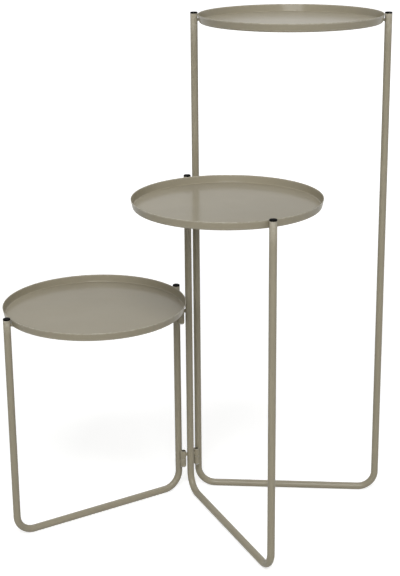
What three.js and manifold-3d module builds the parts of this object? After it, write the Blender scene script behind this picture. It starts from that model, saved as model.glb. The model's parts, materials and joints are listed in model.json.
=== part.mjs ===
// A tiered plant stand: round rimmed trays on U-shaped frames of bent tube, hinged into a fan.
// Units are millimetres, +Z is up and the stand rests on z = 0. The highest frame lies along +X,
// and the origin is on the floor under the middle of the stand's outline.
import * as THREE from "three";
import { mergeVertices } from "three/addons/utils/BufferGeometryUtils.js";
import Module from "manifold-3d";

const wasm = await Module();
wasm.setup();

// Frames: one bent tube each, a leg down, a run along the floor and a leg up.
const tubeDiameter = 12;
const tubeWall = 1.2;
const bendRadius = 30; // of the tube's centre line
const lowTubeHeight = 382;
const midTubeHeight = 576;
const topTubeHeight = 843;

// Trays: pressed sheet with a low rim that leans out.
const trayDiameter = 301.4; // across the outside of the rim's upper edge
const trayRimHeight = 13.5;
const trayRimLean = 12; // degrees
const traySheet = 1;
const trayCornerRadius = 3; // outside, between floor and rim
const rimToLeg = 0.3; // the rim's upper edge touches the legs, so this is the distance of parts that touch
const rimAboveTube = 0.3;

// Studs: one on each side of a tray, welded between rim and leg.
const studDiameter = 4.4;
const studAboveTrayBottom = 3.2;

// Plugs that close the tube ends.
const plugFlange = 2.6;
const plugDome = 0.4;
const plugEdge = 0.6;
const plugStem = 11;
const plugStemWall = 1.3;

// Hinges: two knuckles on a headed pin, each knuckle welded to its own leg.
const knuckleDiameter = 10;
const knuckleLength = 14;
const knuckleSpacing = 0.5; // between the upper and the lower knuckle
const knuckleChamfer = 0.4;
const pinDiameter = 5.8;
const pinPlay = 0.3; // between the pin and the bore of a knuckle
const pinRecess = 1.8; // the pin ends this far inside the upper knuckle
const pinHeadDiameter = 8.4;
const pinHeadHeight = 2.2;
const hingeAngle = 102; // degrees between a frame's plane and the way to its hinge
const midLegToPin = 13;
const outerLegToPin = 12;
const lowerHingeHeight = 63; // of the gap between its knuckles
const upperHingeBelowTube = 50; // below the end of the shorter tube of the pair
const weldHalfWidth = 3;
const weldHalfHeight = 3.2;
const weldBite = 1.4; // how far a weld runs into its knuckle

// How far each outer frame is swung out of the middle frame's plane, in degrees.
const lowOpening = 82;
const topOpening = 61.5;

// Parts that touch keep this distance.
const seatGap = 0.3;

// Facets.
const tubeSides = 20;
const bendSteps = 8;
const traySides = 56;
const cornerSteps = 3;
const plugSides = 16;
const knuckleSides = 16;
const studSides = 14;
const weldSides = 12;

const tubeRadius = tubeDiameter / 2;
const boreRadius = tubeRadius - tubeWall;
const rimEdgeRadius = traySheet / 2;
const rimEdge = new THREE.Vector2(trayDiameter / 2 - rimEdgeRadius, trayRimHeight - rimEdgeRadius); // its centre
const legSpacing = trayDiameter + 2 * rimToLeg + tubeDiameter;
const knuckleRadius = knuckleDiameter / 2;
const pinRadius = pinDiameter / 2;
const radians = THREE.MathUtils.degToRad;

const coat = new THREE.MeshStandardMaterial({ color: 0x8f8674, roughness: 0.5, metalness: 0.1 });
const blackPlastic = new THREE.MeshStandardMaterial({ color: 0x141413, roughness: 0.45, metalness: 0 });
const bareSteel = new THREE.MeshStandardMaterial({ color: 0xa9a8a2, roughness: 0.35, metalness: 1 });

function namedMesh(name, geometry, material) {
  const mesh = new THREE.Mesh(geometry, material);
  mesh.name = name;
  return mesh;
}

// A point at a distance from the origin, in a direction given in degrees.
function polarPoint(distance, degrees) {
  return new THREE.Vector2(distance * Math.cos(radians(degrees)), distance * Math.sin(radians(degrees)));
}

// Points of an arc from one angle to another, both in degrees.
function arcPoints(x, y, radius, from, to, steps) {
  const points = [];
  for (let i = 0; i <= steps; i += 1) {
    points.push(polarPoint(radius, from + ((to - from) * i) / steps).add(new THREE.Vector2(x, y)));
  }
  return points;
}

// A turned form round the Z axis. The profile's x is the radius and its y is the height.
function turned(profile, sides) {
  return new THREE.LatheGeometry(profile, sides).rotateX(Math.PI / 2);
}

function polyline(pairs) {
  return pairs.map(([x, y]) => new THREE.Vector2(x, y));
}

function solidOf(geometry) {
  const bare = geometry.clone();
  bare.deleteAttribute("normal");
  bare.deleteAttribute("uv");
  const merged = mergeVertices(bare, 1e-4);
  const mesh = new wasm.Mesh({
    numProp: 3,
    vertProperties: merged.attributes.position.array,
    triVerts: new Uint32Array(merged.index.array),
  });
  return new wasm.Manifold(mesh);
}

function geometryOf(solid) {
  const mesh = solid.getMesh();
  const geometry = new THREE.BufferGeometry();
  geometry.setAttribute("position", new THREE.BufferAttribute(mesh.vertProperties, 3));
  geometry.setIndex(new THREE.BufferAttribute(mesh.triVerts, 1));
  geometry.computeVertexNormals();
  return geometry;
}

// An upright cylinder from z = low to z = high.
function uprightCylinder(radius, low, high, sides) {
  const cylinder = new THREE.CylinderGeometry(radius, radius, high - low, sides);
  return cylinder.rotateX(Math.PI / 2).translate(0, 0, (low + high) / 2);
}

// The centre line of a frame in its own XZ plane: down at x = 0, along the floor, up at x = legSpacing.
// Equal steps of its parameter take each straight in one step and each bend in bendSteps.
class FrameLine extends THREE.Curve {
  constructor(tubeHeight) {
    super();
    this.tubeHeight = tubeHeight;
    this.stations = 3 + 2 * bendSteps;
  }

  // Place and heading at a station; the heading is the angle above the floor, in degrees.
  station(index) {
    const bendHeight = tubeRadius + bendRadius;
    const last = this.stations;
    if (index === 0) return { x: 0, z: this.tubeHeight, heading: -90 };
    if (index === last) return { x: legSpacing, z: this.tubeHeight, heading: 90 };
    const first = index <= 1 + bendSteps;
    const turn = (90 * (first ? index - 1 : index - 2 - bendSteps)) / bendSteps;
    const heading = first ? turn - 90 : turn;
    const centre = first ? bendRadius : legSpacing - bendRadius;
    return {
      x: centre + bendRadius * Math.sin(radians(heading)),
      z: bendHeight - bendRadius * Math.cos(radians(heading)),
      heading,
    };
  }

  getPointAt(u, target = new THREE.Vector3()) {
    const { x, z } = this.station(Math.round(u * this.stations));
    return target.set(x, 0, z);
  }

  getTangentAt(u, target = new THREE.Vector3()) {
    const { heading } = this.station(Math.round(u * this.stations));
    return target.set(Math.cos(radians(heading)), 0, Math.sin(radians(heading)));
  }
}

// The bent tube, open at both upper ends.
function frameTube(tubeHeight) {
  const ring = new THREE.Shape().absarc(0, 0, tubeRadius, 0, 2 * Math.PI);
  ring.holes.push(new THREE.Path().absarc(0, 0, boreRadius, 0, 2 * Math.PI, true));
  const line = new FrameLine(tubeHeight);
  return new THREE.ExtrudeGeometry(ring, {
    steps: line.stations,
    curveSegments: tubeSides / 2,
    extrudePath: line,
  });
}

// The outside of a tray with its bottom at z = 0, moved outwards by a distance: floor, round corner and leaning rim.
// The rim is the line that touches the round of the corner below and the round of the upper edge above.
function trayOutside(distance) {
  const lean = radians(trayRimLean);
  const rimRun = (rimEdge.y - trayCornerRadius) * Math.tan(lean);
  const cornerX = rimEdge.x - rimRun - (trayCornerRadius - rimEdgeRadius) / Math.cos(lean);
  return [
    new THREE.Vector2(0, -distance),
    ...arcPoints(cornerX, trayCornerRadius, trayCornerRadius + distance, -90, -trayRimLean, cornerSteps),
    polarPoint(rimEdgeRadius + distance, -trayRimLean).add(rimEdge),
  ];
}

// A tray with its bottom at z = 0: the outside, the round of the upper edge and the inside.
function trayShell() {
  const edge = arcPoints(rimEdge.x, rimEdge.y, rimEdgeRadius, -trayRimLean, 180 - trayRimLean, cornerSteps);
  const profile = [...trayOutside(0), ...edge.slice(1, -1), ...trayOutside(-traySheet).reverse()];
  return turned(profile, traySides);
}

// A stud for the leg that stands at x = 0, reaching along +X; its ends are cut to the leg and to the tray's outside.
function trayStud() {
  const length = legSpacing / 2 - rimEdge.x + trayRimHeight;
  const rod = new THREE.CylinderGeometry(studDiameter / 2, studDiameter / 2, length, studSides);
  rod.rotateZ(Math.PI / 2).translate(length / 2, 0, 0);
  const leg = uprightCylinder(tubeRadius + seatGap, -studDiameter, studDiameter, tubeSides);
  const tray = turned([...trayOutside(seatGap), new THREE.Vector2(0, trayRimHeight)], traySides);
  tray.translate(legSpacing / 2, 0, -studAboveTrayBottom);
  return geometryOf(solidOf(rod).subtract(solidOf(leg)).subtract(solidOf(tray)));
}

// A plug for a tube that ends at z = 0: a hollow stem in the bore under a slightly domed flange.
function tubePlug() {
  const stemRadius = boreRadius - seatGap;
  const hollow = stemRadius - plugStemWall;
  const flangeTop = seatGap + plugFlange;
  const profile = polyline([
    [0, -seatGap],
    [hollow, -seatGap],
    [hollow, -plugStem],
    [stemRadius - plugEdge, -plugStem],
    [stemRadius, 2 * plugEdge - plugStem],
    [stemRadius, seatGap],
    [tubeRadius, seatGap],
    [tubeRadius, flangeTop - plugEdge - plugDome],
    [tubeRadius - plugEdge, flangeTop - plugDome],
    [0, flangeTop],
  ]);
  return turned(profile, plugSides);
}

// A knuckle round the Z axis from z = 0 up, with the weld that joins it to a leg at x = legToPin.
function knuckle(legToPin) {
  const bore = pinRadius + pinPlay;
  const profile = polyline([
    [bore, 0],
    [knuckleRadius - knuckleChamfer, 0],
    [knuckleRadius, knuckleChamfer],
    [knuckleRadius, knuckleLength - knuckleChamfer],
    [knuckleRadius - knuckleChamfer, knuckleLength],
    [bore, knuckleLength],
    [bore, 0],
  ]);
  const barrel = solidOf(turned(profile, knuckleSides));
  const space = legToPin - tubeRadius - knuckleRadius;
  const bead = new THREE.SphereGeometry(1, weldSides, weldSides / 2);
  bead.rotateX(Math.PI / 2);
  bead.scale(space / 2 + weldBite, weldHalfWidth, weldHalfHeight);
  bead.translate(knuckleRadius + space / 2, 0, knuckleLength / 2);
  const leg = uprightCylinder(tubeRadius + seatGap, 0, knuckleLength, tubeSides).translate(legToPin, 0, 0);
  return geometryOf(barrel.add(solidOf(bead)).subtract(solidOf(leg)));
}

// A headed pin; z = 0 is the gap between the two knuckles that it joins.
function hingePin() {
  const headTop = -knuckleSpacing / 2 - knuckleLength - seatGap;
  const shankTop = knuckleSpacing / 2 + knuckleLength - pinRecess;
  const headRadius = pinHeadDiameter / 2;
  const dome = arcPoints(0, 0, 1, -90, 0, cornerSteps).map(
    (point) => new THREE.Vector2(point.x * headRadius, headTop + point.y * pinHeadHeight),
  );
  dome[0].x = 0;
  const shank = polyline([
    [pinRadius, headTop],
    [pinRadius, shankTop - knuckleChamfer],
    [pinRadius - knuckleChamfer, shankTop],
    [0, shankTop],
  ]);
  return turned([...dome, ...shank], knuckleSides);
}

// A frame with its tray and plugs. Its hinge-side leg stands at the group's origin.
function trayFrame(level, tubeHeight) {
  const group = new THREE.Group();
  group.add(namedMesh(`${level}_frame`, frameTube(tubeHeight), coat));

  const trayBottom = tubeHeight + rimAboveTube - trayRimHeight;
  const tray = namedMesh(`${level}_tray`, trayShell(), coat);
  tray.position.set(legSpacing / 2, 0, trayBottom);
  group.add(tray);

  for (const side of ["hinge_side", "outer_side"]) {
    const outer = side === "outer_side";
    const legX = outer ? legSpacing : 0;
    const stud = namedMesh(`${level}_stud_${side}`, trayStud(), coat);
    stud.position.set(legX, 0, trayBottom + studAboveTrayBottom);
    stud.rotation.z = outer ? Math.PI : 0;
    const plug = namedMesh(`${level}_plug_${side}`, tubePlug(), blackPlastic);
    plug.position.set(legX, 0, tubeHeight);
    group.add(stud, plug);
  }
  return group;
}

// One hinge with its pin at the group's origin. The middle leg and the outer leg lie at the two angles given.
function hinge(name, midLegAngle, outerLegAngle) {
  const group = new THREE.Group();
  const fixed = namedMesh(`${name}_fixed_knuckle`, knuckle(midLegToPin), coat);
  fixed.position.z = knuckleSpacing / 2;
  fixed.rotation.z = radians(midLegAngle);
  const swinging = namedMesh(`${name}_swing_knuckle`, knuckle(outerLegToPin), coat);
  swinging.position.z = -knuckleSpacing / 2 - knuckleLength;
  swinging.rotation.z = radians(outerLegAngle);
  group.add(fixed, swinging, namedMesh(`${name}_pin`, hingePin(), bareSteel));
  return group;
}

// An outer frame beside the middle frame, on its right (side = -1) or left (side = 1), with both hinges.
function hingedFrame(level, tubeHeight, side, opening) {
  const group = new THREE.Group();
  const pin = polarPoint(midLegToPin, side * hingeAngle);
  const outerLegAngle = side * (opening - hingeAngle) + 180;
  const leg = pin.clone().add(polarPoint(outerLegToPin, outerLegAngle));
  const frame = trayFrame(level, tubeHeight);
  frame.position.set(leg.x, leg.y, 0);
  frame.rotation.z = radians(side * opening);
  group.add(frame);

  const heights = {
    lower: lowerHingeHeight,
    upper: Math.min(tubeHeight, midTubeHeight) - upperHingeBelowTube,
  };
  for (const [place, height] of Object.entries(heights)) {
    const joint = hinge(`${level}_${place}_hinge`, side * hingeAngle + 180, outerLegAngle);
    joint.position.set(pin.x, pin.y, height);
    group.add(joint);
  }
  return group;
}

const fan = new THREE.Group();
fan.add(trayFrame("mid", midTubeHeight));
fan.add(hingedFrame("low", lowTubeHeight, -1, lowOpening));
fan.add(hingedFrame("top", topTubeHeight, 1, topOpening));
fan.rotation.z = radians(-topOpening);

const outlineCentre = new THREE.Box3().setFromObject(fan, true).getCenter(new THREE.Vector3());
fan.position.set(-outlineCentre.x, -outlineCentre.y, 0);

const stand = new THREE.Group();
stand.name = "tiered_plant_stand";
stand.add(fan);

export default stand;
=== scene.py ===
import json
import math

import bpy
import numpy as np
from mathutils import Matrix, Vector


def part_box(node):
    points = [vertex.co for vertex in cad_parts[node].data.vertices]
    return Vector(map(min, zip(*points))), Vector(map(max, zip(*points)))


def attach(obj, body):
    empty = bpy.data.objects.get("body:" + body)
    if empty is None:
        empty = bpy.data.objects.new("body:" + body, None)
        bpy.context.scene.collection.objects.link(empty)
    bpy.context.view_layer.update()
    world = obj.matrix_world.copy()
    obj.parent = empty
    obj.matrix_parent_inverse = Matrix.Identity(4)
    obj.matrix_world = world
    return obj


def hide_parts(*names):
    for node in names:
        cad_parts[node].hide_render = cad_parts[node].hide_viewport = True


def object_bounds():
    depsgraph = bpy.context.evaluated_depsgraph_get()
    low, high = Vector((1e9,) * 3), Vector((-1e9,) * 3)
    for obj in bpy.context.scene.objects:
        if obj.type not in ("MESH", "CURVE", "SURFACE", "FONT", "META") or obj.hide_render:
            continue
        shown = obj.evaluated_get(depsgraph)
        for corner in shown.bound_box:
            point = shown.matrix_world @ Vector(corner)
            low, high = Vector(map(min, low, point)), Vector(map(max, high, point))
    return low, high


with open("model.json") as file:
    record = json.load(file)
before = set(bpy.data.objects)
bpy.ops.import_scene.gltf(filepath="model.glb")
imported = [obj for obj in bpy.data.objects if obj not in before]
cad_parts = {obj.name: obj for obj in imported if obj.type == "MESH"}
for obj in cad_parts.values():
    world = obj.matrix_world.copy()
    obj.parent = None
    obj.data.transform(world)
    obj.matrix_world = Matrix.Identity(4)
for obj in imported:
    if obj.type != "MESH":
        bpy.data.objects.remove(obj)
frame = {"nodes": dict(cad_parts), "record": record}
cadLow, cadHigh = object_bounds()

# A plant stand with three round trays on U-shaped frames of bent tube, hinged into a fan.
# Everything is in metres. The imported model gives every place; the shapes below stand in for its nodes.
mm = 0.001
nearAxis = 0.05 * mm  # how near its axis a profile starts or ends; the small hole left is closed by a fan
levels = ("low", "mid", "top")
bodyOf = {"low": "low_section", "mid": "mid_section", "top": "top_section"}
print("frame loaded:", len(frame["nodes"]), "nodes")


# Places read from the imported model: the middle of a node's box, (lowest + highest) / 2, and its two heights.
def centreOf(node):
    low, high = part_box(node)
    return np.array((low + high) / 2)


def bottomOf(node):
    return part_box(node)[0].z


def topOf(node):
    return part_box(node)[1].z


# Shapes are arrays: a shell holds its points, its faces, and for each point how exposed it is as an edge
# (up to 1, lightened by wear and on the powder coat by a painted highlight), or how far inside a hollow (down
# to -1, darkened with painted shade).

# A run of a profile on a round corner: points (distance from the axis, height, edge), the first two being
# centre + radius * (cos a, sin a).
def roundCorner(centre, radius, startAngle, endAngle, steps, edge=1.0):
    a = np.radians(np.linspace(startAngle, endAngle, steps))
    spread = np.full(steps, edge)
    return np.stack([centre[0] + radius * np.cos(a), centre[1] + radius * np.sin(a), spread], -1)


# A run of a profile along a straight line, start * (1 - t) + end * t, not exposed as an edge.
def straight(start, end, steps):
    t = np.linspace(0, 1, steps)[:, None]
    line = np.array(start) * (1 - t) + np.array(end) * t
    return np.concatenate([line, np.zeros((steps, 1))], 1)


# The same run of a profile, lying so deep in a hollow, where painted shade darkens it.
def inHollow(run, depth):
    return np.concatenate([run[:, :2], np.full((len(run), 1), depth)], 1)


# Four-sided faces between neighbouring lines of a grid; a closed direction joins its last line to its first.
def gridFaces(rows, columns, closedRows):
    r = np.arange(rows if closedRows else rows - 1)
    r, c = np.meshgrid(r, np.arange(columns), indexing="ij")
    nextRow, nextColumn = (r + 1) % rows, (c + 1) % columns
    here, above = r * columns, nextRow * columns
    return np.stack([here + c, here + nextColumn, above + nextColumn, above + c], -1).reshape(-1, 4)


# Turns a shell's faces outwards: the volume by the sum of v0 . (v1 x v2) over its faces has to be positive.
def outward(points, quads, fans):
    a, b, c, d = (points[quads[:, i]] for i in range(4))
    volume = np.sum(a * np.cross(b, c)) + np.sum(a * np.cross(c, d))
    if len(fans):
        a, b, c = (points[fans[:, i]] for i in range(3))
        volume += np.sum(a * np.cross(b, c))
    return (quads, fans) if volume > 0 else (quads[:, ::-1], fans[:, ::-1])


# A grid of points made one closed shell. Rows closed on themselves make a ring; otherwise the first and last
# row are closed by a fan to their own middle.
def shell(grid, edge, ring):
    rows, columns = grid.shape[:2]
    points = grid.reshape(-1, 3)
    exposed = np.broadcast_to(edge, (rows, columns)).reshape(-1)
    quads = gridFaces(rows, columns, ring)
    fans = np.zeros((0, 3), int)
    if not ring:
        ends = np.array([grid[0].mean(0), grid[-1].mean(0)])
        c = np.arange(columns)
        nextColumn = (c + 1) % columns
        lastRow = (rows - 1) * columns
        first = np.stack([np.full(columns, len(points)), nextColumn, c], -1)
        last = np.stack([lastRow + c, lastRow + nextColumn, np.full(columns, len(points) + 1)], -1)
        fans = np.concatenate([first, last])
        points = np.concatenate([points, ends])
        exposed = np.append(exposed, [edge[0].mean(), edge[-1].mean()])
    quads, fans = outward(points - points.mean(0), quads, fans)
    return {"points": points, "quads": quads, "fans": fans, "edge": exposed}


# A profile turned about an axis: centre + r (cos a * side + sin a * ahead) + h * up, for a all the way round.
def turned(profile, centre, axes, columns, ring=False):
    a = np.linspace(0, 2 * math.pi, columns, endpoint=False)
    side, ahead, up = (np.array(v, float) for v in axes)
    around = np.cos(a)[:, None] * side + np.sin(a)[:, None] * ahead
    grid = centre + profile[:, None, 0:1] * around[None] + profile[:, None, 1:2] * up
    return shell(grid, profile[:, 2:3], ring)


upright = ((1, 0, 0), (0, 1, 0), (0, 0, 1))


# Puts shells into one mesh object at the origin, which stands for a node and rides on its body.
def makePiece(name, shells, finish, body, node):
    counts = np.cumsum([0] + [len(s["points"]) for s in shells])
    points = np.concatenate([s["points"] for s in shells])
    faces = []
    for s, start in zip(shells, counts):
        faces += (s["quads"] + start).tolist() + (s["fans"] + start).tolist()
    mesh = bpy.data.meshes.new(name)
    mesh.from_pydata(points.tolist(), [], faces)
    mesh.polygons.foreach_set("use_smooth", np.ones(len(mesh.polygons), bool))
    exposed = mesh.attributes.new("edge", "FLOAT", "POINT")
    exposed.data.foreach_set("value", np.concatenate([s["edge"] for s in shells]).astype(np.float32))
    mesh.materials.append(finish)
    mesh.update()
    piece = bpy.data.objects.new(name, mesh)
    bpy.context.scene.collection.objects.link(piece)
    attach(piece, body)
    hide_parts(node)
    return piece


# Node groups shared by the finishes.

# An empty group with named inputs (socket type, start value) and outputs, and its two end nodes.
def newGroup(name, inputs, outputs):
    group = bpy.data.node_groups.new(name, "ShaderNodeTree")
    for label, (kind, value) in inputs.items():
        socket = group.interface.new_socket(label, in_out="INPUT", socket_type=kind)
        if value is not None:
            socket.default_value = value
    for label, kind in outputs.items():
        group.interface.new_socket(label, in_out="OUTPUT", socket_type=kind)
    return group, group.nodes.new("NodeGroupInput"), group.nodes.new("NodeGroupOutput")


# Adds a node with settings and inputs; an input is a number, a colour or another node's output.
def addNode(tree, kind, settings=None, **inputs):
    node = tree.nodes.new(kind)
    for label, value in (settings or {}).items():
        setattr(node, label, value)
    for label, value in inputs.items():
        setInput(tree, node, label.replace("_", " "), value)
    return node


# Sets one input of a node, found by its name or, as in i0, by its number.
def setInput(tree, node, label, value):
    socket = node.inputs[int(label[1:])] if label[0] == "i" and label[1:].isdigit() else node.inputs[label]
    if isinstance(value, bpy.types.NodeSocket):
        tree.links.new(value, socket)
    else:
        socket.default_value = value


# One calculation on two values, held to 0..1 where clamp is set.
def maths(tree, operation, first, second=0.0, clamp=False):
    node = addNode(tree, "ShaderNodeMath", {"operation": operation, "use_clamp": clamp}, i0=first, i1=second)
    return node.outputs[0]


# Smooth noise, most of it between 0.3 and 0.7, with scale waves to a metre.
def noise(tree, position, scale, detail=3.0, roughness=0.5):
    node = addNode(tree, "ShaderNodeTexNoise", None, Vector=position, Scale=scale, Detail=detail,
                   Roughness=roughness)
    return node.outputs["Factor" if "Factor" in node.outputs else "Fac"]


# Moves a value's range from lowest..highest to start..end, held inside it.
def ranged(tree, value, lowest, highest, start, end):
    node = addNode(tree, "ShaderNodeMapRange", {"clamp": True}, i0=value, i1=lowest, i2=highest, i3=start,
                   i4=end)
    return node.outputs[0]


# A colour between two others: first * (1 - share) + second * share.
def mixed(tree, share, first, second):
    kind = {"data_type": "RGBA", "clamp_factor": True}
    return addNode(tree, "ShaderNodeMix", kind, i0=share, i6=first, i7=second).outputs[2]


# Powder grain: broad waves of melted powder (peel), fine grain on them, and a slow drift of tone.
def makePowderGrain():
    group, start, end = newGroup("powderGrain", {
        "Position": ("NodeSocketVector", None),
        "Peel Scale": ("NodeSocketFloat", 330.0),
        "Grain Scale": ("NodeSocketFloat", 1700.0),
        "Grain Share": ("NodeSocketFloat", 0.35),
        "Drift Scale": ("NodeSocketFloat", 9.0),
    }, {"Height": "NodeSocketFloat", "Drift": "NodeSocketFloat", "Grain": "NodeSocketFloat"})
    position = start.outputs["Position"]
    peel = noise(group, position, start.outputs["Peel Scale"], 2.0, 0.45)
    grain = noise(group, position, start.outputs["Grain Scale"], 2.0, 0.6)
    drift = noise(group, position, start.outputs["Drift Scale"], 3.0, 0.5)
    fine = maths(group, "MULTIPLY", grain, start.outputs["Grain Share"])
    group.links.new(maths(group, "ADD", peel, fine), end.inputs["Height"])
    group.links.new(drift, end.inputs["Drift"])
    group.links.new(grain, end.inputs["Grain"])
    return group


# Edge wear and painted highlight: where the piece's own edge value is high, broken up by noise, the finish is
# thin, and on the powder coat it is also lightened as a painted highlight.
def makeEdgeWearAndHighlight():
    group, start, end = newGroup("edgeWearAndHighlight", {
        "Position": ("NodeSocketVector", None),
        "Edge": ("NodeSocketFloat", 0.0),
        "Patch Scale": ("NodeSocketFloat", 160.0),
        "Amount": ("NodeSocketFloat", 0.5),
    }, {"Mask": "NodeSocketFloat"})
    patches = noise(group, start.outputs["Position"], start.outputs["Patch Scale"], 4.0, 0.6)
    broken = ranged(group, patches, 0.35, 0.65, 0.25, 1.0)
    wearAndHighlight = maths(group, "MULTIPLY", broken, maths(group, "MAXIMUM", start.outputs["Edge"], 0.0))
    group.links.new(maths(group, "MULTIPLY", wearAndHighlight, start.outputs["Amount"], True), end.inputs["Mask"])
    return group


# Painted shade in hollows: darkening where the piece's own edge value is below 0, in patches that close up as
# it nears -1.
def makePaintedHollowShade():
    group, start, end = newGroup("paintedHollowShade", {
        "Position": ("NodeSocketVector", None),
        "Edge": ("NodeSocketFloat", 0.0),
        "Amount": ("NodeSocketFloat", 0.9),
    }, {"Mask": "NodeSocketFloat"})
    depth = maths(group, "MULTIPLY", start.outputs["Edge"], -1.0, True)
    patches = ranged(group, noise(group, start.outputs["Position"], 420.0, 3.0, 0.6), 0.3, 0.7, 0.7, 1.3)
    lying = maths(group, "MULTIPLY", depth, patches)
    group.links.new(maths(group, "MULTIPLY", lying, start.outputs["Amount"], True), end.inputs["Mask"])
    return group


# Settled dust: on faces that look up, in specks and soft clouds.
def makeSettledDust():
    group, start, end = newGroup("settledDust", {
        "Position": ("NodeSocketVector", None),
        "Normal": ("NodeSocketVector", None),
        "Amount": ("NodeSocketFloat", 0.1),
    }, {"Mask": "NodeSocketFloat"})
    split = addNode(group, "ShaderNodeSeparateXYZ", None, Vector=start.outputs["Normal"])
    up = ranged(group, split.outputs["Z"], 0.55, 0.98, 0.0, 1.0)
    clouds = ranged(group, noise(group, start.outputs["Position"], 14.0, 5.0, 0.6), 0.35, 0.7, 0.35, 1.0)
    specks = ranged(group, noise(group, start.outputs["Position"], 900.0, 1.0, 0.5), 0.66, 0.72, 0.0, 1.0)
    lying = maths(group, "ADD", clouds, specks)
    dust = maths(group, "MULTIPLY", maths(group, "MULTIPLY", up, lying), start.outputs["Amount"], True)
    group.links.new(dust, end.inputs["Mask"])
    return group


groups = {
    "powderGrain": makePowderGrain(),
    "edgeWearAndHighlight": makeEdgeWearAndHighlight(),
    "paintedHollowShade": makePaintedHollowShade(),
    "settledDust": makeSettledDust(),
}


# Places a shared group in a finish with its own values.
def useGroup(tree, name, **inputs):
    node = tree.nodes.new("ShaderNodeGroup")
    node.node_tree = groups[name]
    for label, value in inputs.items():
        setInput(tree, node, label.replace("_", " "), value)
    return node


# Finishes.

# A slot's colour in the record is written as seen on a screen; a shader takes it as light.
def slotColour(slot, factor=1.0, tint=(1, 1, 1)):
    written = next(m["base_color"] for m in frame["record"]["materials"] if m["slot"] == slot)
    light = [((c + 0.055) / 1.055) ** 2.4 for c in written[:3]]
    return (*[c * factor * t for c, t in zip(light, tint)], 1.0)


# An empty finish: its material, its tree, its shader, and the position on the piece that its patterns follow.
def newFinish(name):
    finish = bpy.data.materials.new(name)
    finish.use_nodes = True
    tree = finish.node_tree
    tree.nodes.clear()
    output = tree.nodes.new("ShaderNodeOutputMaterial")
    shader = tree.nodes.new("ShaderNodeBsdfPrincipled")
    tree.links.new(shader.outputs[0], output.inputs["Surface"])
    position = tree.nodes.new("ShaderNodeTexCoord").outputs["Object"]
    return finish, tree, shader, position


# Noise made into roughness: its middle part runs from roughness - spread to roughness + spread.
def roughnessFrom(tree, value, settings):
    low = settings["roughness"] - settings["roughnessSpread"]
    high = settings["roughness"] + settings["roughnessSpread"]
    return ranged(tree, value, 0.3, 0.7, low, high)


# The piece's own edge value, from -1 deep in a hollow to 1 on an exposed edge.
def edgeValue(tree):
    return addNode(tree, "ShaderNodeAttribute", {"attribute_name": "edge"}).outputs["Fac"]


# The normal tilted by a height that is worth so much depth.
def bumpFrom(tree, height, strength, depth):
    return addNode(tree, "ShaderNodeBump", None, Strength=strength, Distance=depth, Height=height).outputs[0]


powder = {
    "tint": (1.02, 1.05, 1.03),  # on the slot's colour, which came out a little too red
    "gloss": 0.08,
    "roughness": 0.55,
    "roughnessSpread": 0.06,
    "film": 0.40,  # how much of the smoother outer skin shows, and its gloss
    "filmRoughness": 0.17,
    "toneSpread": 0.035,  # share by which the colour drifts up and down
    "peelDepth": 0.000035,
    "bumpStrength": 0.35,
    # edge lightening: the coat thinning there, and a painted highlight along the rim lips
    "edgeThinningAndHighlight": 0.45,
    "thinAndHighlightColour": (0.58, 0.55, 0.47, 1),
    "dustColour": (0.46, 0.44, 0.40, 1),
    # near-black painted shade laid into hollows and where parts meet
    "paintedShadeColour": (0.020, 0.018, 0.015, 1),
    "dust": 0.10,
}


# Satin powder coat: base colour drifting slightly in tone, a little lighter over edges where it thins and as a
# painted highlight, a trace of dust on what looks up, painted shade in hollows, and the height of its grain as
# bump.
def makePowderCoat():
    finish, tree, shader, position = newFinish("powderCoat")
    normal = tree.nodes.new("ShaderNodeNewGeometry").outputs["Normal"]
    edge = edgeValue(tree)
    grain = useGroup(tree, "powderGrain", Position=position)
    wearAndHighlight = useGroup(tree, "edgeWearAndHighlight", Position=position, Edge=edge, Amount=powder["edgeThinningAndHighlight"])
    dust = useGroup(tree, "settledDust", Position=position, Normal=normal, Amount=powder["dust"])
    drift = ranged(tree, grain.outputs["Drift"], 0.3, 0.7, 0.0, 1.0)
    darker = slotColour("powder_coat", 1 - powder["toneSpread"], powder["tint"])
    lighter = slotColour("powder_coat", 1 + powder["toneSpread"], powder["tint"])
    colour = mixed(tree, drift, darker, lighter)
    # edges lighter: thinner coat, and a painted highlight
    colour = mixed(tree, wearAndHighlight.outputs["Mask"], colour, powder["thinAndHighlightColour"])
    colour = mixed(tree, dust.outputs["Mask"], colour, powder["dustColour"])
    # painted shade: darkens the colour to near-black in hollows and where parts meet
    hollowShade = useGroup(tree, "paintedHollowShade", Position=position, Edge=edge)
    colour = mixed(tree, hollowShade.outputs["Mask"], colour, powder["paintedShadeColour"])
    setInput(tree, shader, "Base Color", colour)
    rough = roughnessFrom(tree, grain.outputs["Grain"], powder)
    rough = maths(tree, "ADD", rough, maths(tree, "MULTIPLY", dust.outputs["Mask"], 0.6), True)
    setInput(tree, shader, "Roughness", rough)
    bump = bumpFrom(tree, grain.outputs["Height"], powder["bumpStrength"], powder["peelDepth"])
    setInput(tree, shader, "Normal", bump)
    shader.inputs["Specular IOR Level"].default_value = powder["gloss"]
    shader.inputs["Coat Weight"].default_value = powder["film"]
    shader.inputs["Coat Roughness"].default_value = powder["filmRoughness"]
    return finish


plastic = {
    "shade": 0.45,  # share of the slot's colour
    "roughness": 0.62,
    "roughnessSpread": 0.08,
    "gloss": 0.03,
    "dust": 0.003,
    "grainDepth": 0.00002,
    "wornColour": (0.04, 0.038, 0.035, 1),
    "dustColour": (0.35, 0.33, 0.30, 1),
}


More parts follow.
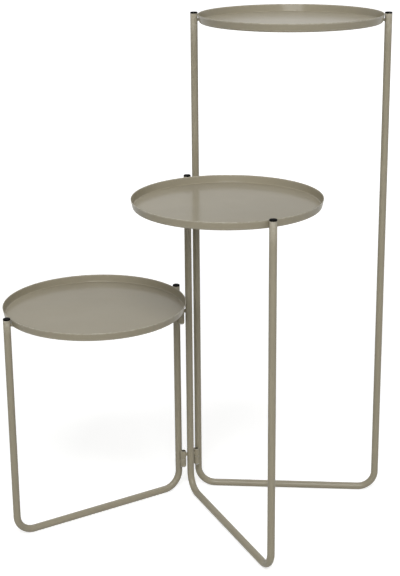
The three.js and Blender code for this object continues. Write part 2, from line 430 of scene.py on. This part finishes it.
# Moulded black plastic: slight unevenness of gloss, fine mould grain, paler on its edge, some dust on top.
def makeBlackPlastic():
    finish, tree, shader, position = newFinish("blackPlastic")
    normal = tree.nodes.new("ShaderNodeNewGeometry").outputs["Normal"]
    wearAndHighlight = useGroup(tree, "edgeWearAndHighlight", Position=position, Edge=edgeValue(tree), Patch_Scale=700.0, Amount=0.10)
    dust = useGroup(tree, "settledDust", Position=position, Normal=normal, Amount=plastic["dust"])
    black = slotColour("black_plastic", plastic["shade"])
    colour = mixed(tree, wearAndHighlight.outputs["Mask"], black, plastic["wornColour"])
    colour = mixed(tree, dust.outputs["Mask"], colour, plastic["dustColour"])
    setInput(tree, shader, "Base Color", colour)
    setInput(tree, shader, "Roughness", roughnessFrom(tree, noise(tree, position, 420.0, 3.0), plastic))
    bump = bumpFrom(tree, noise(tree, position, 3200.0, 2.0), 0.5, plastic["grainDepth"])
    setInput(tree, shader, "Normal", bump)
    shader.inputs["Specular IOR Level"].default_value = plastic["gloss"]
    return finish


steel = {
    "roughness": 0.34,
    "roughnessSpread": 0.10,
    "mottle": (0.95, 1.25),  # shares of the slot's colour
    "brightColour": (0.62, 0.61, 0.58, 1),
    # near-black painted shade for the pin's end in the bore's recess
    "paintedShadeColour": (0.030, 0.027, 0.023, 1),
    "ringPitch": 0.0009,
    "ringDepth": 0.00002,
}


# Plated steel: mottled grey metal with fine turned rings along the pin, bright worn edges, and painted shade
# darkening its end.
def makeBareSteel():
    finish, tree, shader, position = newFinish("bareSteel")
    edge = edgeValue(tree)
    wearAndHighlight = useGroup(tree, "edgeWearAndHighlight", Position=position, Edge=edge, Patch_Scale=500.0, Amount=0.5)
    mottle = ranged(tree, noise(tree, position, 380.0, 4.0), 0.3, 0.7, 0.0, 1.0)
    colour = mixed(tree, mottle, *(slotColour("bare_steel", share) for share in steel["mottle"]))
    colour = mixed(tree, wearAndHighlight.outputs["Mask"], colour, steel["brightColour"])
    # painted shade: darkens the pin's end to near-black and dulls it
    hollowShade = useGroup(tree, "paintedHollowShade", Position=position, Edge=edge)
    colour = mixed(tree, hollowShade.outputs["Mask"], colour, steel["paintedShadeColour"])
    setInput(tree, shader, "Base Color", colour)
    shader.inputs["Metallic"].default_value = 1.0
    rough = roughnessFrom(tree, noise(tree, position, 900.0, 3.0), steel)
    dull = maths(tree, "MULTIPLY", hollowShade.outputs["Mask"], 0.5)
    setInput(tree, shader, "Roughness", maths(tree, "ADD", rough, dull, True))
    alongPin = {"wave_type": "BANDS", "bands_direction": "Z"}
    rings = addNode(tree, "ShaderNodeTexWave", alongPin, Vector=position, Distortion=1.5,
                    Scale=math.pi / (10 * steel["ringPitch"]))
    setInput(tree, shader, "Normal", bumpFrom(tree, rings.outputs["Fac"], 0.3, steel["ringDepth"]))
    return finish


powderCoat, blackPlastic, bareSteel = makePowderCoat(), makeBlackPlastic(), makeBareSteel()
print("finishes made")


# Frames: bent tube.

tube = {
    "radius": 6 * mm,
    "bore": 4.8 * mm,
    "bendRadius": 30 * mm,  # of the centre line
    "bendSteps": 30,
    "legSteps": 14,
    "columns": 64,
    "lip": 0.25 * mm,  # rounding of the cut ends
    "lipSteps": 5,
    "flattening": 0.022,  # a bent tube is a little flatter across its bend
    "narrowing": 0.4,  # share of the flattening that it has the other way
}


# The centre line of a U from the top of one leg to the top of the other, as (distance along the run, height),
# with the direction that looks out of the U at each point and how far into a bend it is (0..1..0).
def uPath(span, height):
    radius, low = tube["bendRadius"], tube["radius"]
    turn = np.linspace(0, math.pi / 2, tube["bendSteps"])
    down = np.linspace(height, low + radius, tube["legSteps"] + 1)[:-1]
    run = np.linspace(radius, span - radius, tube["legSteps"] + 2)[1:-1]
    x = np.concatenate([np.zeros(len(down)), radius - radius * np.cos(turn), run,
                        span - radius + radius * np.sin(turn), np.full(len(down), span)])
    z = np.concatenate([down, low + radius - radius * np.sin(turn), np.full(len(run), low),
                        low + radius - radius * np.cos(turn), down[::-1]])
    tilt = np.concatenate([np.zeros(len(down)), turn, np.full(len(run), math.pi / 2), math.pi / 2 + turn,
                           np.full(len(down), math.pi)])
    bend = np.sin(2 * tilt) ** 2
    out = np.stack([-np.cos(tilt), -np.sin(tilt)], -1)
    return np.stack([x, z], -1), out, bend


# Outer wall, lip, bore and lip again, carried along the U: each ring is
# centre + radius * (flat * cos a * out + wide * sin a * across), where flat is 1 - flattening * bend.
def bentTube(level):
    first = centreOf(f"{level}_plug_hinge_side")[:2]
    last = centreOf(f"{level}_plug_outer_side")[:2]
    height = topOf(f"{level}_frame")
    span = np.linalg.norm(last - first)
    along = np.array([*(last - first) / span, 0.0])
    across = np.array([-along[1], along[0], 0.0])
    line, out, bend = uPath(span, height)
    a = np.linspace(0, 2 * math.pi, tube["columns"], endpoint=False)

    def rings(points, outDirections, bends, radii):
        centre = np.array([*first, 0.0]) + points[:, :1] * along + points[:, 1:] * np.array([0, 0, 1.0])
        outward3d = outDirections[:, :1] * along + outDirections[:, 1:] * np.array([0, 0, 1.0])
        flat = 1 - tube["flattening"] * bends
        wide = 1 + tube["narrowing"] * (flat - 1)
        towards = (radii * flat)[:, None, None] * np.cos(a)[None, :, None] * outward3d[:, None]
        return centre[:, None] + towards + (radii * wide)[:, None, None] * np.sin(a)[None, :, None] * across

    lip = tube["lip"]
    turn = np.linspace(0, math.pi / 2, tube["lipSteps"])
    # the lip at a leg's top, from the outer wall over the end to the bore
    aside, upwards = lip * np.cos(turn), lip * np.sin(turn)
    lipRadii = np.concatenate([tube["radius"] - lip + aside, tube["bore"] + lip - upwards])
    lipDrop = np.concatenate([lip - upwards, lip - aside])
    lipRings = len(lipRadii)
    topLine = np.stack([np.full(lipRings, line[0, 0]), height - lipDrop], -1)
    endLine = np.stack([np.full(lipRings, line[-1, 0]), height - lipDrop], -1)
    inner = slice(1, -1)
    wall = rings(line[inner], out[inner], bend[inner], np.full(len(line) - 2, tube["radius"]))
    bore = rings(line[inner][::-1], out[inner][::-1], bend[inner][::-1], np.full(len(line) - 2, tube["bore"]))
    unbent, exposed = np.zeros(lipRings), np.ones(lipRings)
    farLip = rings(endLine, np.repeat(out[-1:], lipRings, 0), unbent, lipRadii)
    nearLip = rings(topLine[::-1], np.repeat(out[:1], lipRings, 0), unbent, lipRadii[::-1])
    grid = np.concatenate([wall, farLip, bore, nearLip])
    edge = np.concatenate([np.zeros(len(wall)), exposed, np.zeros(len(bore)), exposed])
    return shell(grid, edge[:, None], True)


for level in levels:
    makePiece(f"{level}_bent_tube", [bentTube(level)], powderCoat, bodyOf[level], f"{level}_frame")
print("bent tubes made")


# Trays: pressed sheet with a rim that leans out.

tray = {
    "sheet": 1 * mm,
    "rimHeight": 13.5 * mm,
    "lean": 12.0,  # degrees that the rim leans out
    "corner": 3 * mm,  # outside radius between floor and rim
    "cornerSteps": 10,
    "lipSteps": 12,
    "floorSteps": 9,
    "rimSteps": 6,
    "columns": 224,
}


# Half a section through the tray, from the middle underneath, out, up the rim, over its edge, and back in:
# straight runs joined by round corners that touch them.
def trayProfile(radius):
    lean, sheet, corner = math.radians(tray["lean"]), tray["sheet"], tray["corner"]
    lip = sheet / 2
    lipAt = (radius - lip, tray["rimHeight"] - lip)
    run = (lipAt[1] - corner) * math.tan(lean) + (corner - lip) / math.cos(lean)
    cornerAt = (lipAt[0] - run, corner)
    steps, middle, beforeCorner = tray["cornerSteps"], 0.2 * mm, cornerAt[0] - 0.4 * mm
    under = roundCorner(cornerAt, corner, -90, -tray["lean"], steps, 0.3)
    over = roundCorner(lipAt, lip, -tray["lean"], 180 - tray["lean"], tray["lipSteps"], 1.0)
    within = roundCorner(cornerAt, corner - sheet, -tray["lean"], -90, steps, 0.0)
    first = straight((middle, 0), (beforeCorner, 0), tray["floorSteps"])
    outer = straight(under[-1, :2], over[0, :2], tray["rimSteps"])[1:-1]
    inner = straight(over[-1, :2], within[0, :2], tray["rimSteps"])[1:-1]
    last = straight((beforeCorner, sheet), (middle, sheet), tray["floorSteps"])
    return np.concatenate([first, under, outer, over, inner, within, last])


# Half of the tray's width, by the smaller side of its box, so that the round tray stays inside that box.
def trayRadius(level):
    low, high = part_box(f"{level}_tray")
    return min(high.x - low.x, high.y - low.y) / 2


# The radius of the rim's outside at a height above the tray's bottom:
# radius - lip + lip / cos lean - (rim height - lip - height) * tan lean.
def rimRadius(radius, height):
    lean, lip = math.radians(tray["lean"]), tray["sheet"] / 2
    return radius - lip + lip / math.cos(lean) - (tray["rimHeight"] - lip - height) * math.tan(lean)


# The tray's profile turned about its own axis.
def pressedTray(level):
    node = f"{level}_tray"
    centre = np.array([*centreOf(node)[:2], bottomOf(node)])
    return turned(trayProfile(trayRadius(level)), centre, upright, tray["columns"])


for level in levels:
    makePiece(f"{level}_pressed_tray", [pressedTray(level)], powderCoat, bodyOf[level], f"{level}_tray")
print("pressed trays made")


# Studs: a short round bar between rim and leg, with a weld at each end.

stud = {
    "radius": 2.2 * mm,
    "weldFlare": 1.3 * mm,
    "intoLeg": 0.6 * mm,
    "intoRim": 0.5 * mm,
    # its two ends are darkened with painted shade by this depth
    "hollow": 0.8,  # how far its two ends count as lying in a hollow
    "rows": 15,
    "columns": 40,
}


# The bar's radius along its length: plain in the middle, flaring to both ends as a fillet of weld does.
# Its ends lie in hollows, darkened with painted shade. Its far end leans as the rim does: each point moves
# along the bar by its height * its share of the length * tan lean.
def weldedStud(level, side):
    node = f"{level}_stud_{side}"
    leg = centreOf(f"{level}_plug_{side}")
    middle = centreOf(f"{level}_tray")
    inwards = np.array([middle[0] - leg[0], middle[1] - leg[1], 0.0])
    inwards /= np.linalg.norm(inwards)
    across = np.array([-inwards[1], inwards[0], 0.0])
    aboveTray = centreOf(node)[2] - bottomOf(f"{level}_tray")
    rimAway = np.linalg.norm(middle[:2] - leg[:2]) - rimRadius(trayRadius(level), aboveTray)
    start, end = tube["radius"] - stud["intoLeg"], rimAway + stud["intoRim"]
    t = np.linspace(0, 1, stud["rows"])
    fromMiddle = 2 * t - 1
    flare = stud["weldFlare"] * fromMiddle ** 4
    inHollows = -stud["hollow"] * fromMiddle ** 6
    body = np.stack([stud["radius"] + flare, start + (end - start) * t, inHollows], -1)
    profile = np.concatenate([[[nearAxis, start, 0.0]], body, [[nearAxis, end, 0.0]]])
    centre = np.array([leg[0], leg[1], centreOf(node)[2]])
    bar = turned(profile, centre, (across, (0, 0, 1), inwards), stud["columns"])
    share = ((bar["points"] - centre) @ inwards - start) / (end - start)
    lean = share * (bar["points"][:, 2] - centre[2]) * math.tan(math.radians(tray["lean"]))
    bar["points"] = bar["points"] - lean[:, None] * inwards
    return bar


for level in levels:
    for side in ("hinge_side", "outer_side"):
        makePiece(f"{level}_welded_stud_{side}", [weldedStud(level, side)], powderCoat, bodyOf[level],
                  f"{level}_stud_{side}")
print("studs made")


# Plugs in the tube ends.

plug = {
    "seam": 0.08 * mm,  # between the tube's end and the flange
    "edge": 0.7 * mm,
    "dome": 0.4 * mm,
    "footEdge": 0.25 * mm,
    "stem": 11 * mm,
    "stemRadius": 4.5 * mm,
    "stemBore": 3.2 * mm,
    "columns": 56,
}


# A closed section: down inside the hollow stem, up its outside, out under the flange, round its edge, and over
# the dome, which falls as the square of the way out from its middle.
def tubePlug(level, side):
    node = f"{level}_plug_{side}"
    centre = centreOf(node)
    base = topOf(f"{level}_frame")
    high = topOf(node) - base
    radius, edge, foot, seam = tube["radius"], plug["edge"], plug["footEdge"], plug["seam"]
    flat = high - plug["dome"]
    stem, stemRadius, stemBore = plug["stem"], plug["stemRadius"], plug["stemBore"]
    hollow = straight((nearAxis, -0.3 * mm), (stemBore - 0.3 * mm, -0.3 * mm), 3)
    inside = straight((stemBore, -0.6 * mm), (stemBore, -stem + 0.2 * mm), 4)
    mouth = straight((stemBore + 0.2 * mm, -stem), (stemRadius - 0.5 * mm, -stem), 2)
    outside = straight((stemRadius, -stem + 0.6 * mm), (stemRadius, -0.1 * mm), 4)
    under = straight((stemRadius + 0.1 * mm, seam), (radius - foot - 0.1 * mm, seam), 3)
    heel = roundCorner((radius - foot, seam + foot), foot, -90, 0, 5, 0.6)
    shoulder = roundCorner((radius - edge, flat - edge), edge, 0, 80, 9, 0.8)
    t = np.linspace(0, 1, 9)[1:]
    rim = shoulder[-1]
    rise = rim[1] + (high - rim[1]) * (1 - (1 - t) ** 2)
    crown = np.stack([rim[0] * (1 - t) + nearAxis * t, rise, 0 * t], -1)
    profile = np.concatenate([hollow, inside, mouth, outside, under, heel, shoulder, crown])
    return turned(profile, np.array([centre[0], centre[1], base]), upright, plug["columns"])


for level in levels:
    for side in ("hinge_side", "outer_side"):
        makePiece(f"{level}_tube_plug_{side}", [tubePlug(level, side)], blackPlastic, bodyOf[level],
                  f"{level}_plug_{side}")
print("plugs made")


# Hinges: two knuckles on a headed pin, each welded to its own leg.

knuckle = {
    "radius": 5 * mm,
    "bore": 3.2 * mm,
    "length": 14 * mm,
    "edge": 0.45 * mm,
    "boreEdge": 0.2 * mm,
    # the bore's edge and the bore are darkened with painted shade by these depths
    "boreHollow": (0.6, 1.0),  # how deep in a hollow the bore's edge and the bore count as lying
    "columns": 56,
}
weld = {
    "halfWidth": 3 * mm,
    "halfHeight": 3.2 * mm,
    "bite": 1.4 * mm,
    "ripplePitch": 1.15 * mm,
    "rippleDepth": 0.055,
    "rippleBow": 0.35 * mm,
    "slowWaves": (0.05, 0.04),
    # the bead's two sides and tips are darkened with painted shade by these depths
    "pinch": 0.55,  # how deep in a hollow its two sides count as lying, and its tips
    "tipPinch": 0.25,
    "columns": 48,
    "rows": 36,
}
pin = {
    "radius": 2.9 * mm,
    "headRadius": 4.2 * mm,
    "headHeight": 2.2 * mm,
    "headSide": 0.9 * mm,  # height of the head above its dome
    "headEdge": 0.25 * mm,
    "edge": 0.4 * mm,
    # the pin's end is darkened with painted shade by these depths
    "endHollow": (0.7, 0.85),  # how deep in a hollow its end's edge and face count as lying
    "columns": 48,
}


# A ring turned from a rectangle with rounded outer and inner edges, its bore lying in a hollow and darkened
# with painted shade.
def barrel(axis, base):
    outer, bore, length, e = knuckle["radius"], knuckle["bore"], knuckle["length"], knuckle["edge"]
    small = knuckle["boreEdge"]
    boreRim, boreWall = knuckle["boreHollow"]
    profile = np.concatenate([
        roundCorner((outer - e, e), e, -90, 0, 6),
        straight((outer, e + 0.3 * mm), (outer, length - e - 0.3 * mm), 5),
        roundCorner((outer - e, length - e), e, 0, 90, 6),
        straight((outer - e - 0.2 * mm, length), (bore + small + 0.2 * mm, length), 2),
        roundCorner((bore + small, length - small), small, 90, 180, 4, -boreRim),
        inHollow(straight((bore, length - small - 0.3 * mm), (bore, small + 0.3 * mm), 5), -boreWall),
        roundCorner((bore + small, small), small, 180, 270, 4, -boreRim),
        straight((bore + small + 0.2 * mm, 0), (outer - e - 0.2 * mm, 0), 2),
    ])
    return turned(profile, np.array([axis[0], axis[1], base]), upright, knuckle["columns"], ring=True)


# A bead between barrel and leg: an ellipsoid whose radius rises and falls along its height as laid weld does,
# with a few slow waves round it so that no two sides match. It lies in a hollow where it runs into barrel
# and leg, and there it is darkened with painted shade.
def weldBead(axis, leg, height, turn):
    towards = np.array([leg[0] - axis[0], leg[1] - axis[1], 0.0])
    distance = np.linalg.norm(towards)
    towards /= distance
    across = np.array([-towards[1], towards[0], 0.0])
    space = distance - knuckle["radius"] - tube["radius"]
    centre = np.array([*axis, height]) + towards * (knuckle["radius"] + space / 2)
    u = np.linspace(0, 2 * math.pi, weld["columns"], endpoint=False)[None, :]
    v = np.linspace(-math.pi / 2, math.pi / 2, weld["rows"] + 2)[1:-1, None]
    rise = weld["halfHeight"] * np.sin(v) + 0 * u
    bowed = rise + weld["rippleBow"] * np.cos(u)
    wave = weld["rippleDepth"] * np.cos(2 * math.pi * bowed / weld["ripplePitch"])
    twoWaves, threeWaves = weld["slowWaves"]
    slow = twoWaves * np.sin(2 * u + turn) + threeWaves * np.sin(3 * u + 5 * v + 2 * turn)
    swell = 1 + (wave + slow) * np.cos(v) - 0.06
    reach = (space / 2 + weld["bite"]) * np.cos(v) * np.cos(u) * swell
    width = weld["halfWidth"] * np.cos(v) * np.sin(u) * swell
    upwards = rise[..., None] * np.array([0, 0, 1.0])
    grid = centre + reach[..., None] * towards + width[..., None] * across + upwards
    pinched = -weld["pinch"] * np.cos(v) ** 2 * np.cos(u) ** 4 - weld["tipPinch"] * np.abs(np.sin(v)) ** 6
    return shell(grid, pinched, False)


# A round bar with a rounded upper end and a domed head below, in one profile from the head's crown upwards. The
# crown is (head radius * sin a, its height * (1 - cos a)).
def headedPin(node):
    axis = centreOf(node)
    low, high = bottomOf(node), topOf(node)
    r, head, deep, e = pin["radius"], pin["headRadius"], pin["headHeight"], pin["edge"]
    brim, top = pin["headEdge"], high - low
    endRim, endFace = pin["endHollow"]
    t = np.linspace(0.02, 1, 10)
    lean = np.radians(90 * t)
    crown = np.stack([head * np.sin(lean), (deep - pin["headSide"]) * (1 - np.cos(lean)), 0.3 * t], -1)
    shoulder = roundCorner((head - brim, deep - brim), brim, 0, 90, 5)
    neck = straight((head - 0.6 * mm, deep), (r + 0.25 * mm, deep), 2)
    shank = straight((r, deep + 0.25 * mm), (r, top - e - 0.3 * mm), 8)
    end = roundCorner((r - e, top - e), e, 0, 90, 6, -endRim)
    face = inHollow(straight((r - e - 0.2 * mm, top), (nearAxis, top), 3), -endFace)
    profile = np.concatenate([crown, shoulder, neck, shank, end, face])
    return turned(profile, np.array([axis[0], axis[1], low]), upright, pin["columns"])


for level in ("low", "top"):
    for place in ("lower", "upper"):
        name = f"{level}_{place}"
        pinNode = f"{name}_hinge_pin"
        axis = centreOf(pinNode)[:2]
        makePiece(f"{name}_headed_pin", [headedPin(pinNode)], bareSteel, "mid_section", pinNode)
        for kind, owner in (("fixed", "mid"), ("swing", level)):
            node = f"{name}_hinge_{kind}_knuckle"
            base = bottomOf(node)
            leg = centreOf(f"{owner}_plug_hinge_side")[:2]
            bead = weldBead(axis, leg, base + knuckle["length"] / 2, len(name) + len(owner) * 1.7)
            makePiece(f"{name}_{kind}_barrel", [barrel(axis, base), bead], powderCoat, bodyOf[owner], node)
print("hinges made")


# Floor, light and camera.

# A surface or sky that the camera, and what is seen in a gloss or through glass, gets at its own strength.
def seenDirectly(tree):
    path = tree.nodes.new("ShaderNodeLightPath")
    seen = maths(tree, "MAXIMUM", path.outputs["Is Camera Ray"], path.outputs["Is Glossy Ray"])
    return maths(tree, "MAXIMUM", seen, path.outputs["Is Transmission Ray"])


studio = {
    "skyLight": 0.24,  # strength of the even light from all round
    "skySeen": 1.0,
    "floorColour": (0.66, 0.66, 0.65, 1),
    "floorLift": 0.62,  # light added to the floor where it is seen, so that it reads as white paper
    "floorLiftFar": 1.0,  # the same where the lamps hardly reach
    "nearToFar": (1.2, 4.0),
    "floorSize": 60.0,
}

world = bpy.data.worlds.new("softRoom")
bpy.context.scene.world = world
world.use_nodes = True
tree = world.node_tree
background = tree.nodes["Background"]
background.inputs["Color"].default_value = (1, 1, 1, 1)
strength = addNode(tree, "ShaderNodeMapRange", None, i0=seenDirectly(tree), i1=0.0, i2=1.0,
                   i3=studio["skyLight"], i4=studio["skySeen"])
tree.links.new(strength.outputs[0], background.inputs["Strength"])

half = studio["floorSize"] / 2
floorMesh = bpy.data.meshes.new("floor")
corners = [(-half, -half, 0), (half, -half, 0), (half, half, 0), (-half, half, 0)]
floorMesh.from_pydata(corners, [], [(0, 1, 2, 3)])
floor = bpy.data.objects.new("floor", floorMesh)
bpy.context.scene.collection.objects.link(floor)
paper = bpy.data.materials.new("paleFloor")
paper.use_nodes = True
tree = paper.node_tree
tree.nodes.clear()
matte = addNode(tree, "ShaderNodeBsdfDiffuse", None, Color=studio["floorColour"])
floorPosition = tree.nodes.new("ShaderNodeTexCoord").outputs["Object"]
away = addNode(tree, "ShaderNodeVectorMath", {"operation": "LENGTH"}, i0=floorPosition)
nearToFar = (*studio["nearToFar"], studio["floorLift"], studio["floorLiftFar"])
liftBy = ranged(tree, away.outputs["Value"], *nearToFar)
lift = addNode(tree, "ShaderNodeEmission", None, Color=(1, 1, 1, 1),
               Strength=maths(tree, "MULTIPLY", seenDirectly(tree), liftBy))
together = tree.nodes.new("ShaderNodeAddShader")
tree.links.new(matte.outputs[0], together.inputs[0])
tree.links.new(lift.outputs[0], together.inputs[1])
tree.links.new(together.outputs[0], tree.nodes.new("ShaderNodeOutputMaterial").inputs["Surface"])
floorMesh.materials.append(paper)

# name, place, size across and high, power in watts; each lamp looks at the middle of the stand
lamps = [
    ("highFrontPanel", (0.0, -2.9, 4.0), (2.0, 1.4), 92),
    ("lowFrontPanel", (0.0, -4.2, 2.4), (2.0, 1.4), 60),
    ("frontLeftPanel", (-2.6, -2.6, 3.9), (2.0, 1.4), 8),
    ("frontRightPanel", (2.6, -2.6, 3.9), (2.0, 1.4), 29),
    ("backPanel", (0.0, 3.2, 4.0), (2.4, 1.4), 40),
]
middle = (cadLow + cadHigh) / 2
for name, place, size, power in lamps:
    light = bpy.data.lights.new(name, "AREA")
    light.shape = "RECTANGLE"
    light.size, light.size_y = size
    light.energy = power
    lamp = bpy.data.objects.new(name, light)
    lamp.location = place
    lamp.rotation_euler = (middle - Vector(place)).to_track_quat("-Z", "Y").to_euler()
    lamp.visible_camera = False
    bpy.context.scene.collection.objects.link(lamp)

# The photograph's viewpoint, from a fit of the stand's own points: place, the way it looks, and its focal
# length and middle in pixels of a 400 x 576 picture.
view = {
    "place": (0.17041, -1.99724, 1.06258),
    "yaw": 4.445,
    "pitch": 15.867,
    "roll": -0.483,
    "focal": 1270.59,
    "middle": (204.139, 233.877),
    "picture": (400, 576),
}
yaw, pitch, roll = (math.radians(view[k]) for k in ("yaw", "pitch", "roll"))
ahead = Vector((-math.sin(yaw), math.cos(yaw), 0))
right = Vector((math.cos(yaw), math.sin(yaw), 0))
forward = ahead * math.cos(pitch) - Vector((0, 0, 1)) * math.sin(pitch)
above = ahead * math.sin(pitch) + Vector((0, 0, 1)) * math.cos(pitch)
camX = right * math.cos(roll) + above * math.sin(roll)
camY = above * math.cos(roll) - right * math.sin(roll)
lens = bpy.data.cameras.new("photographView")
lens.sensor_width = 36
lens.lens = view["focal"] * 36 / view["picture"][1]
lens.shift_x = (view["picture"][0] / 2 - view["middle"][0]) / view["picture"][1]
lens.shift_y = (view["middle"][1] - view["picture"][1] / 2) / view["picture"][1]
lens.clip_start, lens.clip_end = 0.05, 200
camera = bpy.data.objects.new("photographView", lens)
turnTo = Matrix((camX, camY, -forward)).transposed().to_4x4()
camera.matrix_world = Matrix.Translation(Vector(view["place"])) @ turnTo
bpy.context.scene.collection.objects.link(camera)
bpy.context.scene.camera = camera
bpy.context.scene.view_settings.view_transform = "Standard"
print("floor, lamps and camera placed")
